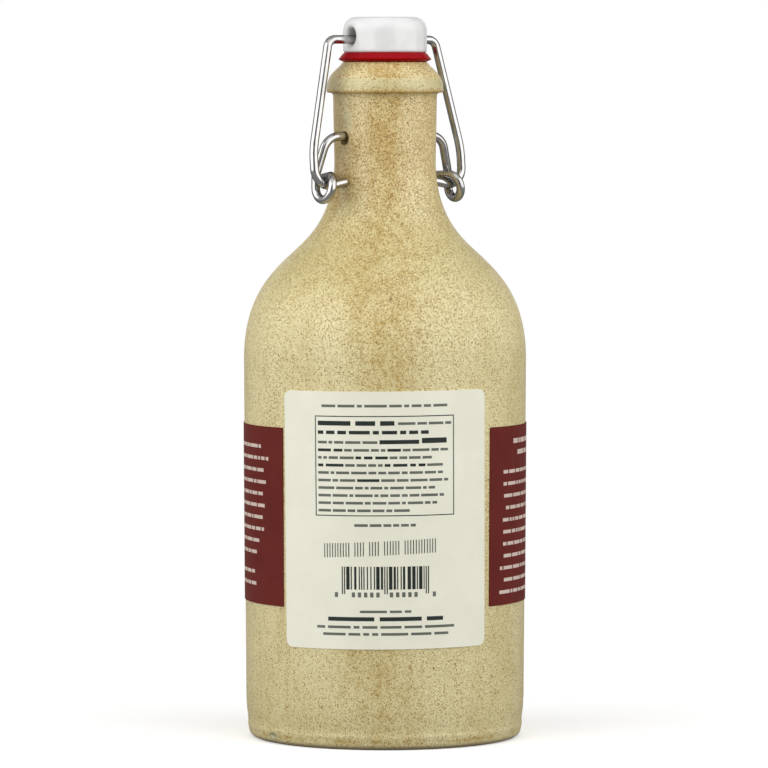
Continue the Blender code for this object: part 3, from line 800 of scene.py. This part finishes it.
def bore_cutter(outline):
    """The cross bore with both its mouths: a tube that opens out and meets the side on a curve."""
    mouth = STOPPER_RADIUS + MOUTH_LIFT
    half = []
    for step in range(MOUTH_STEPS + 1):
        angle = MOUTH_TURN * step / MOUTH_STEPS
        radius = BORE_RADIUS + MOUTH_ROUND * (1 - math.cos(angle))
        half.append(Vector((radius, mouth - MOUTH_ROUND * (1 - math.sin(angle)))))
    half.append(Vector((half[-1].x + MOUTH_FLARE, mouth + MOUTH_BEYOND)))
    half.append(Vector((0, mouth + MOUTH_BEYOND)))
    other_half = [Vector((point.x, -point.y)) for point in reversed(half)]
    cutter = spun(other_half + half, BORE_SIDES)
    place = Matrix.Translation((0, BORE_Y, BORE_Z)) @ Matrix.Rotation(math.pi / 2, 4, 'Y')
    bmesh.ops.transform(cutter, matrix=place, verts=cutter.verts)
    for vertex in cutter.verts:
        flat = outline_radius(outline, vertex.co.z)
        surface = math.sqrt(flat ** 2 - vertex.co.y ** 2)
        vertex.co.x -= math.copysign(STOPPER_RADIUS - surface, vertex.co.x)
    bmesh.ops.recalc_face_normals(cutter, faces=cutter.faces)
    return cutter


def make_stopper(material):
    outline = smooth_outline(cad_outline("stopper"), lambda height: SMALL_SPACING)
    shell = spun(outline, SMALL_STEPS)
    stopper = cut_with(shell, [bore_cutter(outline)])
    finished("stopper_porcelain", stopper, material, ["stopper"])


def make_gasket(material):
    outline = smooth_outline(cad_outline("gasket"), lambda height: SMALL_SPACING, closed=True)
    ring = spun(outline, SMALL_STEPS, closed=True)
    stretch = (GASKET_HIGH_Z - GASKET_LOW_Z + 2 * FIT_GAP) / (GASKET_HIGH_Z - GASKET_LOW_Z)
    for vertex in ring.verts:
        angle = math.atan2(vertex.co.y, vertex.co.x)
        swell = 1 + sum(size * math.sin(waves * angle + phase) for waves, size, phase in GASKET_WAVES)
        vertex.co.x *= swell
        vertex.co.y *= swell
        vertex.co.z = LIP_Z + (vertex.co.z - GASKET_LOW_Z) * stretch
    finished("gasket_rubber", ring, material, ["gasket"])


# ---------------------------------------------------------------- wires
def rounded_path(corners, bends, steps):
    """A run of straight lines through `corners`, each inner one rounded to its bend radius."""
    path = [corners[0]]
    for before, corner, after, bend in zip(corners, corners[1:], corners[2:], bends):
        back = (before - corner).normalized()
        ahead = (after - corner).normalized()
        half_angle = back.angle(ahead) / 2
        centre = corner + (back + ahead).normalized() * (bend / math.sin(half_angle))
        start = corner + back * (bend / math.tan(half_angle))
        end = corner + ahead * (bend / math.tan(half_angle))
        turn_axis = (start - centre).cross(end - centre).normalized()
        turn = math.pi - 2 * half_angle
        for step in range(steps + 1):
            path.append(centre + Matrix.Rotation(turn * step / steps, 3, turn_axis) @ (start - centre))
    path.append(corners[-1])
    return path


def mirrored_in_x(half_path):
    return [Vector((-point.x, point.y, point.z)) for point in reversed(half_path)]


def wire_shell(path):
    """A round wire along a path, its cut ends slightly rounded off."""
    for end, inner in ((0, 1), (-1, -2)):
        back = (path[inner] - path[end]).normalized() * WIRE_END_ROUND
        path.insert(1 if end == 0 else len(path) - 1, path[end] + back)
    curve = bpy.data.curves.new("wire", 'CURVE')
    curve.dimensions = '3D'
    curve.bevel_depth = WIRE_RADIUS
    curve.bevel_resolution = WIRE_ROUNDNESS
    curve.use_fill_caps = True
    spline = curve.splines.new('POLY')
    spline.points.add(len(path) - 1)
    for spline_point, place in zip(spline.points, path):
        spline_point.co = (place.x, place.y, place.z, 1.0)
    spline.points[0].radius = WIRE_END_SHARE
    spline.points[-1].radius = WIRE_END_SHARE
    drawn = link("wire", curve)
    bpy.context.view_layer.update()
    mesh = bpy.data.meshes.new_from_object(drawn.evaluated_get(bpy.context.evaluated_depsgraph_get()))
    bpy.data.objects.remove(drawn)
    wire = bmesh.new()
    wire.from_mesh(mesh)
    bpy.data.meshes.remove(mesh)
    return closed_shell(wire)


def coil_points():
    """Three quarters of a turn: down behind the eye, under it, up in front and over its top."""
    arm_x = NECK_WAIST_RADIUS + EYE_BESIDE_NECK
    points = []
    for step in range(COIL_STEPS + 1):
        share = step / COIL_STEPS
        angle = -COIL_TURN * share
        x = arm_x - COIL_SHIFT * share ** COIL_LATE_SHIFT
        y = EYE_Y + COIL_RADIUS * math.cos(angle)
        z = EYE_Z + COIL_RADIUS * math.sin(angle)
        points.append(Vector((x, y, z)))
    return points


def loop_points(coil_end):
    """From the top of the coil on a tangent, then round the back of the neck to the thumb tab."""
    loop_radius = NECK_TOP_RADIUS + WIRE_RADIUS + LEVER_LOOP_CLEARANCE
    touch = math.atan2(coil_end.y, coil_end.x) + math.acos(loop_radius / coil_end.xy.length)
    root = math.acos(TAB_HALF_ROOT / loop_radius)
    last = root - TAB_LEAD / loop_radius
    turns = [touch + (last - touch) * step / LOOP_STEPS for step in range(LOOP_STEPS + 1)]
    plan = [polar(angle, loop_radius) for angle in turns]
    tab_y = loop_radius + TAB_REACH
    tab_tip = Vector((TAB_HALF_TIP, tab_y, 0))
    tab_corners = [plan[-1], polar(root, loop_radius), tab_tip, Vector((0, tab_y, 0))]
    plan = plan[:-1] + rounded_path(tab_corners, [TAB_BEND, TAB_BEND], BEND_STEPS)[:-1]
    points = []
    for place in plan:
        fall = LEVER_DROOP * (place.y - coil_end.y) / (tab_y - coil_end.y)
        points.append(Vector((place.x, place.y, coil_end.z - fall)))
    return points


def make_lever(material):
    pin_end = radius_at(PIN_Z) - PIN_HOLE_DEPTH + FIT_GAP
    coil = coil_points()
    corners = [
        Vector((pin_end, 0, PIN_Z)),
        Vector((NECK_WAIST_RADIUS + LEVER_SHOULDER_OUT, 0, PIN_Z)),
        coil[0] + Vector((0, 0, COIL_RADIUS)),
        coil[0],
    ]
    arm = rounded_path(corners, [LEVER_BEND, LEVER_BEND], BEND_STEPS)
    half = arm[:-1] + coil + loop_points(coil[-1])
    half.reverse()
    wire = wire_shell(mirrored_in_x(half) + half)
    finished("lever_wire", wire, material, ["lever"])


def make_bail(material):
    """Bent flat in its own XZ plane, about the line through the eyes, then leaned into the bore."""
    reach = Vector((BORE_Y - EYE_Y, CROSSBAR_Z - EYE_Z))
    lean = math.atan2(reach.x, reach.y)
    wide_x = NECK_WAIST_RADIUS + EYE_BESIDE_NECK + BAIL_BEYOND_ARM
    inner_bend = HOOK_BEND * math.tan((math.pi / 2 + HOOK_RISE) / 2)
    hook_corner_z = EYE_SLACK - FIT_GAP + HOOK_BEND - inner_bend
    end_x = NECK_TOP_RADIUS + HOOK_END_CLEARANCE
    corners = [
        Vector((0, 0, reach.length)),
        Vector((STOPPER_RADIUS + BAIL_BESIDE_STOPPER, 0, reach.length)),
        Vector((wide_x, 0, BAIL_KNEE_ABOVE_EYE)),
        Vector((wide_x, 0, hook_corner_z)),
        Vector((end_x, 0, hook_corner_z + (wide_x - end_x) * math.tan(HOOK_RISE))),
    ]
    half = rounded_path(corners, [BAIL_CORNER_BEND, BAIL_KNEE_BEND, HOOK_BEND], BEND_STEPS)[1:]
    leaned = Matrix.Translation((0, EYE_Y, EYE_Z)) @ Matrix.Rotation(-lean, 4, 'X')
    wire = wire_shell([leaned @ point for point in mirrored_in_x(half) + half])
    finished("bail_wire", wire, material, ["bail"])


# ---------------------------------------------------------------- labels
class WallSheet:
    """A flat sheet's place on the wall: its middle's angle and height, its size and its tilt."""

    def __init__(self, angle, low, high, width, tilt=0.0):
        self.angle = angle
        self.middle = (low + high) / 2
        self.height = high - low
        self.width = width
        self.turn = Matrix.Rotation(tilt, 2)
        self.radius = radius_at(self.middle)

    def wrap(self, flat):
        """Wraps a flat bmesh, with its thickness along Z, round the wall."""
        for vertex in flat.verts:
            across, up = self.turn @ vertex.co.xy
            height = self.middle + up
            angle = self.angle + across / self.radius
            vertex.co = polar(angle, radius_at(height) + vertex.co.z, height)


def slab(left, right, low, high, under, over, corner=0.0):
    """A thin flat slab as a bmesh, with enough columns to bend round the wall."""
    flat = bmesh.new()
    columns = max(1, math.ceil((right - left) / LABEL_COLUMN))
    place = Matrix.Translation(((left + right) / 2, (low + high) / 2, under))
    size = Matrix.Diagonal((right - left, high - low, 1, 1))
    whole = 1 if corner > 0 else columns
    bmesh.ops.create_grid(flat, x_segments=whole, y_segments=1, size=0.5, matrix=place @ size)
    if corner > 0:
        bmesh.ops.bevel(
            flat, geom=flat.verts[:], offset=corner, segments=CORNER_STEPS, profile=0.5,
            affect='VERTICES', material=-1, clamp_overlap=True)
        for column in range(1, columns):
            x = left + (right - left) * column / columns
            everything = flat.verts[:] + flat.edges[:] + flat.faces[:]
            bmesh.ops.bisect_plane(
                flat, geom=everything, dist=MERGE / 10, plane_co=(x, 0, 0), plane_no=(1, 0, 0))
    sheet = flat.faces[:]
    raised = bmesh.ops.extrude_face_region(flat, geom=sheet, use_keep_orig=True)["geom"]
    top = [item for item in raised if isinstance(item, bmesh.types.BMVert)]
    bmesh.ops.translate(flat, vec=(0, 0, over - under), verts=top)
    bmesh.ops.recalc_face_normals(flat, faces=flat.faces)
    return flat


def label_piece(name, sheet, corner, material, node):
    wide, high = sheet.width / 2, sheet.height / 2
    flat = slab(-wide, wide, -high, high, PAPER_UNDER, PAPER_OVER, corner)
    sheet.wrap(flat)
    finished(name, flat, material, [node])


class Print:
    """Bars of print, as (left, right, low, high).  Methods take millimetres and drops below `top`."""

    def __init__(self, seed, top=0.0):
        self.chance = random.Random(seed)
        self.top = top
        self.bars = []

    def block(self, left, right, drop, foot):
        """One bar from the height `drop` down to the height `foot`."""
        self.bars.append((left * MM, right * MM, self.top - foot * MM, self.top - drop * MM))

    def words(self, left, right, drop, tall=FINE_TALL, letter=FINE_LETTER):
        """Bars of uneven length that stand for the words of one line, its middle at `drop`."""
        left, right, tall, letter = left * MM, right * MM, tall * MM, letter * MM
        middle = self.top - drop * MM
        while left < right - letter:
            end = min(right, left + letter * self.chance.randint(*WORD_LETTERS))
            if right - end < SHORTEST_WORD * letter:
                end = right
            self.bars.append((left, end, middle - tall / 2, middle + tall / 2))
            left = end + letter * WORD_GAP

    def centred(self, half, drop, tall=FINE_TALL, letter=FINE_LETTER, centre=0.0):
        self.words(centre - half, centre + half, drop, tall, letter)

    def stripes(self, left, right, drop, foot):
        """Upright stripes of one to three units, with like gaps."""
        while left < right:
            end = min(right, left + self.chance.choice((1, 1, 2, 3)) * STRIPE)
            self.block(left, end, drop, foot)
            left = end + self.chance.choice((1, 1, 2)) * STRIPE


def frame_bars(left, right, low, high, line):
    """Four bars that draw a rectangle's outline, a hair apart at its corners."""
    foot, head = low + line + CORNER_HAIR, high - line - CORNER_HAIR
    return [
        (left, right, high - line, high), (left, right, low, low + line),
        (left, left + line, foot, head), (right - line, right, foot, head)]


def printed(name, sheet, bars, material, under=INK_UNDER, over=INK_OVER):
    """The print of a label: thin bars of ink on its paper."""
    flat = bmesh.new()
    bar_mesh = bpy.data.meshes.new("bar")
    for left, right, low, high in bars:
        bar = slab(left, right, low, high, under, over)
        bar.to_mesh(bar_mesh)
        bar.free()
        flat.from_mesh(bar_mesh)
    bpy.data.meshes.remove(bar_mesh)
    sheet.wrap(flat)
    finished(name, flat, material)


def back_label_bold(sheet):
    """The back label's frame, its heavy lines, its stamped ticks and its stripes."""
    ink = Print(7, sheet.height / 2)
    half = PANEL_HALF * MM
    ink.bars += frame_bars(
        -half, half, ink.top - PANEL_FOOT * MM, ink.top - PANEL_HEAD * MM, PANEL_LINE * MM)
    for line in HEAVY_LINES:
        ink.words(*line)
    for row, start, end in HEAVY_RUNS:
        ink.words(start, end, PANEL_ROW_DROP + PANEL_ROW_STEP * row, 0.8, 0.8)
    across = STAMP_LEFT
    for group in STAMP_GROUPS:
        for tick in range(group):
            left = across + STAMP_STEP * tick
            foot = STAMP_FOOT - left * math.tan(STAMP_TILT)
            ink.block(left, left + STAMP_TICK, foot - STAMP_TALL, foot)
        across += STAMP_STEP * group + STAMP_GAP
    guards = (-STRIPES_HALF, -STRIPE, STRIPES_HALF - 3 * STRIPE)
    for left, right in zip(guards, guards[1:]):
        ink.stripes(left + 4 * STRIPE, right - STRIPE, STRIPES_HEAD, STRIPES_FOOT)
    for left in guards:
        for start in (left, left + 2 * STRIPE):
            ink.block(start, start + STRIPE, STRIPES_HEAD, GUARD_FOOT)
    ink.centred(16.7, 64.5, 1.15, 1.5)
    return ink.bars


def back_label_fine(sheet):
    """The back label's small lines and the small blocks under its stripes."""
    ink = Print(5, sheet.height / 2)
    left = PANEL_MARGIN - PANEL_HALF
    ink.centred(18.2, 4.1, letter=0.7)
    ink.words(3.8, -left, 9.1)
    ink.words(left, -2.0, 14.4)
    for row, end in enumerate(PANEL_ROW_ENDS):
        drop = PANEL_ROW_DROP + PANEL_ROW_STEP * row
        start = left
        for heavy_row, heavy_start, heavy_end in HEAVY_RUNS:
            if heavy_row == row:
                ink.words(start, heavy_start - FINE_LETTER, drop)
                start = heavy_end + 0.5
        ink.words(start, end, drop)
    ink.centred(8.7, 37.9)
    for first, blocks in ((-14.6, 1), (-9.6, 5), (1.2, 5), (13.6, 1)):
        for block in range(blocks):
            start = first + 1.75 * block
            ink.block(start, start + 0.95, 56.9, 58.3)
    for half, drop, tall in ((7.3, 62.4, 0.7), (20.2, 66.8, 0.75), (18.3, 68.8, 0.75)):
        ink.centred(half, drop, tall, 0.85)
    return ink.bars


def wrap_label_bars(sheet):
    """The wrap's pale print: a column of centred lines near each end."""
    ink = Print(11, sheet.height / 2)
    end = sheet.width / 2 / MM
    drops = [5.8 + 3.39 * row for row in range(10)] + [42.0, 45.4]
    halves = (16.5, 20.5, 18.0, 19.2, 17.5, 18.5, 17.3, 18.0, 15.1, 13.5, 12.0, 13.0)
    for drop, half in zip(drops, halves):
        ink.centred(half, drop, 1.0, 0.62, end - 27)
    drops = [4.4, 7.7] + [13.0 + 3.44 * row for row in range(11)]
    halves = (12.0, 9.0, 17.7, 17.7, 17.4, 16.3, 17.9, 17.7, 17.8, 17.4, 19.3, 17.2, 19.5)
    for drop, half in zip(drops, halves):
        ink.centred(half, drop, 1.35 if drop < 10 else 1.0, 0.62, 24 - end)
    return ink.bars


def front_field_bars(sheet):
    """The cream field on the wrap, opposite the back label, inside its double frame."""
    top = sheet.height / 2 - FRONT_MARGIN
    bars = []
    for inset, line in ((0.0, 0.6 * MM), (1.2 * MM, 0.3 * MM)):
        bars += frame_bars(-FRONT_HALF + inset, FRONT_HALF - inset, inset - top, top - inset, line)
    inset = FRONT_INSET
    bars.append((-FRONT_HALF + inset, FRONT_HALF - inset, inset - top, top - inset))
    return bars


def front_print_bars():
    """The plain print on the wrap's cream field: two heavy lines, a rule and two light lines."""
    ink = Print(4)
    ink.centred(17, -9.0, 3.4, 3.4)
    ink.centred(25, -2.6, 4.4, 4.2)
    ink.block(-14, 14, 2.9, 3.2)
    ink.centred(21, 6.4, 1.2, 1.0)
    ink.centred(12, 10.4, 1.2, 1.0)
    return ink.bars


def make_labels():
    paper = {name: coated_paper(name, *look) for name, look in PAPERS.items()}
    cream = paper["cream_paper"]
    back = WallSheet(BACK_LABEL_ANGLE, BACK_LABEL_LOW, BACK_LABEL_HIGH, BACK_LABEL_WIDTH, BACK_LABEL_TILT)
    wrap_width = 2 * math.pi * back.radius - BACK_LABEL_WIDTH - SEAM_WIDE - SEAM_NARROW
    wrap_angle = BACK_LABEL_ANGLE + math.pi + (SEAM_WIDE - SEAM_NARROW) / 2 / back.radius
    wrap = WallSheet(wrap_angle, WRAP_LOW, WRAP_HIGH, wrap_width)
    label_piece("label_back_paper", back, BACK_LABEL_CORNER, cream, "label_back")
    label_piece(
        "label_wrap_paper", wrap, 0.0, paper["maroon_paper"], "label_wrap")
    printed("label_back_bold_print", back, back_label_bold(back), paper["dark_ink"])
    printed("label_back_fine_print", back, back_label_fine(back), paper["grey_ink"])
    printed("label_wrap_print", wrap, wrap_label_bars(wrap), paper["pale_ink"])
    printed("label_front_field", wrap, front_field_bars(wrap), cream)
    printed(
        "label_front_print", wrap, front_print_bars(), paper["front_ink"], INK_OVER, FRONT_INK_OVER)


# ---------------------------------------------------------------- stage, lights and camera
def around_camera(degrees, distance, height):
    """A place round the jug, turned from the camera's own direction."""
    return polar(-math.pi / 2 - VIEW_AZIMUTH + math.radians(degrees), distance, height)


def aimed(item_place, front):
    """The turn that points an item's `front` axis from its place at the jug's middle."""
    return (Vector((0, 0, AIM_HEIGHT)) - item_place).to_track_quat(front, 'Y')


def sheet_object(name, width, tall, place, material):
    """A flat rectangle, centred and turned by the matrix `place`."""
    sheet = bmesh.new()
    size = Matrix.Diagonal((width, tall, 1, 1))
    bmesh.ops.create_grid(sheet, x_segments=1, y_segments=1, size=0.5, matrix=place @ size)
    mesh = bpy.data.meshes.new(name)
    sheet.to_mesh(mesh)
    sheet.free()
    mesh.materials.append(material)
    return link(name, mesh)


def make_floor():
    """White to the camera but for the jug's own shadow; grey to every other ray."""
    material, shader, place = new_material("pale_floor")
    tree = place.tree
    sees = node_value(tree, "LightPath", out="Is Camera Ray")
    colour = mix((150, 150, 148), (246, 246, 246), sees)
    colour = tinted(colour, use_group(fine_grain, place, Size=0.05, Amount=0.01)["Tint"])
    shape_surface(shader, colour, 0.9)
    shader.inputs["Specular IOR Level"].default_value = 0.0
    glow = node_value(tree, "Emission", {"Strength": sees * FLOOR_GLOW})
    both = node_value(tree, "AddShader", {0: Value(shader.outputs[0]), 1: glow})
    distant = ramp(length(place), FLOOR_NEAR, FLOOR_FAR) * sees
    white = node_value(tree, "Emission", {"Strength": 1.0})
    far = node_value(tree, "MixShader", {0: distant, 1: both, 2: white})
    put(far, tree.nodes["Material Output"].inputs[0])
    floor = sheet_object("floor", 2 * FLOOR_HALF, 2 * FLOOR_HALF, Matrix.Identity(4), material)


def make_cards():
    """Dark cards round the jug that only its own surfaces see, as dark lines in the wires."""
    material, shader, place = new_material("dark_card")
    grain = use_group(fine_grain, place, Size=0.1, Amount=0.1)
    shape_surface(shader, tinted((38, 38, 38), grain["Tint"]), 0.9)
    for name, (degrees, distance, height, width, tall) in CARDS.items():
        middle = around_camera(degrees, distance, height)
        facing = Matrix.Translation(middle) @ aimed(middle, 'Z').to_matrix().to_4x4()
        card = sheet_object(name, width, tall, facing, material)
        card.visible_camera = False
        card.visible_shadow = False


def make_world():
    """White behind the jug for the camera, a plain grey for everything else."""
    world = bpy.data.worlds.new("studio")
    bpy.context.scene.world = world
    world.use_nodes = True
    tree = world.node_tree
    seen = tree.nodes["Background"]
    put((1, 1, 1, 1), seen.inputs[0])
    put(1.0, seen.inputs[1])
    fill = node_value(tree, "Background", {0: (1, 1, 1, 1), 1: AMBIENT})
    sees = node_value(tree, "LightPath", out="Is Camera Ray")
    mixed = node_value(tree, "MixShader", {0: sees, 1: fill, 2: Value(seen.outputs[0])})
    put(mixed, tree.nodes["World Output"].inputs[0])


def make_lights():
    for name, (degrees, distance, height, width, tall, radiance) in SOFT_BOXES.items():
        lamp = bpy.data.lights.new(name, 'AREA')
        lamp.shape = 'RECTANGLE'
        lamp.size = width
        lamp.size_y = tall
        lamp.energy = radiance * math.pi * width * tall
        item = link(name, lamp)
        item.location = around_camera(degrees, distance, height)
        item.rotation_euler = aimed(item.location, '-Z').to_euler()
        item.visible_camera = False


def make_camera():
    data = bpy.data.cameras.new("camera")
    data.sensor_width = SENSOR
    data.lens = LENS
    camera = link("camera", data)
    eye = around_camera(0, CAMERA_DISTANCE, CAMERA_HEIGHT)
    camera.location = eye + polar(-VIEW_AZIMUTH, CAMERA_SIDESTEP)
    camera.rotation_euler = aimed(eye, '-Z').to_euler()
    bpy.context.scene.camera = camera


# ---------------------------------------------------------------- the whole scene
jug_outline = smooth_outline(
    cad_outline("jug"), lambda height: FOOT_SPACING if height < FOOT_ZONE else OUTLINE_SPACING)

glaze = speckled_glaze()
steel = drawn_steel()
make_jug(glaze)
make_stopper(white_porcelain())
make_gasket(red_rubber())
make_lever(steel)
make_bail(steel)
make_labels()
make_floor()
make_cards()
make_world()
make_lights()
make_camera()
bpy.context.scene.view_settings.view_transform = 'Standard'
